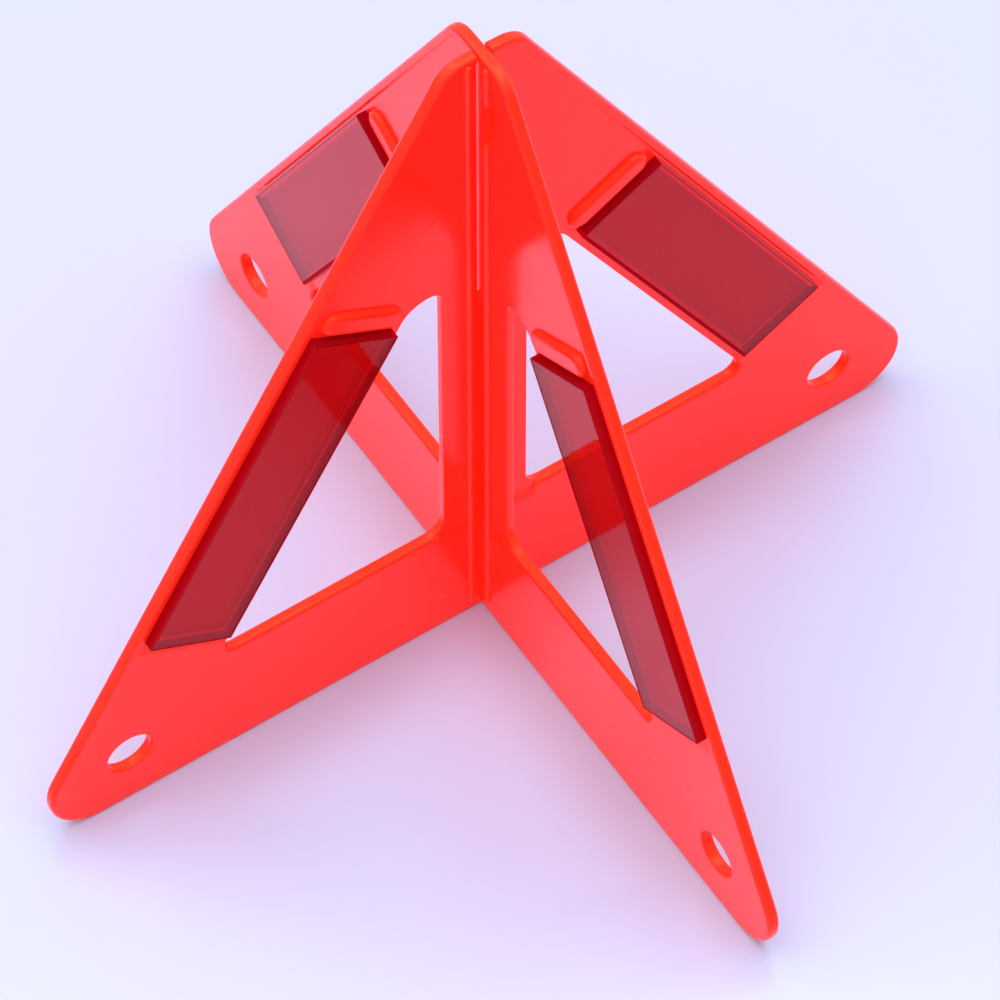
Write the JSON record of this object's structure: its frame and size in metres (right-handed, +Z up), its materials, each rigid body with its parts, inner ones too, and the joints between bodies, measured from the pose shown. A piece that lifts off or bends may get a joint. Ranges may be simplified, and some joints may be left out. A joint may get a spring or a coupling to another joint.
{
  "type": "warning triangle",
  "caption": "Free-standing warning triangle: two crossed red plates that slot together, with a red reflector on every wing.",
  "frame": {"origin": "on the ground, on the vertical axis where the two panels cross", "axes": "+Z up along the crossing axis, X along the lower panel (slot open at the top), Y along the upper panel (slot open at the bottom)"},
  "size_m": [0.2316, 0.2316, 0.2006],
  "materials": {
    "red_plastic": "glossy moulded red polystyrene, slightly translucent",
    "red_lens": "transparent deep red acrylic, polished",
    "reflective_film": "silver micro-prism reflective film"
  },
  "bodies": {
    "lower_assembly": {"lower_panel": "red_plastic", "west_lens": "red_lens", "west_reflective_film": "reflective_film", "east_lens": "red_lens", "east_reflective_film": "reflective_film"},
    "upper_assembly": {"upper_panel": "red_plastic", "south_lens": "red_lens", "south_reflective_film": "reflective_film", "north_lens": "red_lens", "north_reflective_film": "reflective_film"}
  },
  "joints": [
    {"name": "upper_panel_lift", "type": "slide", "parent": "lower_assembly", "child": "upper_assembly", "axis": [0, 0, 1], "range_m": [0, 0.205]}
  ]
}
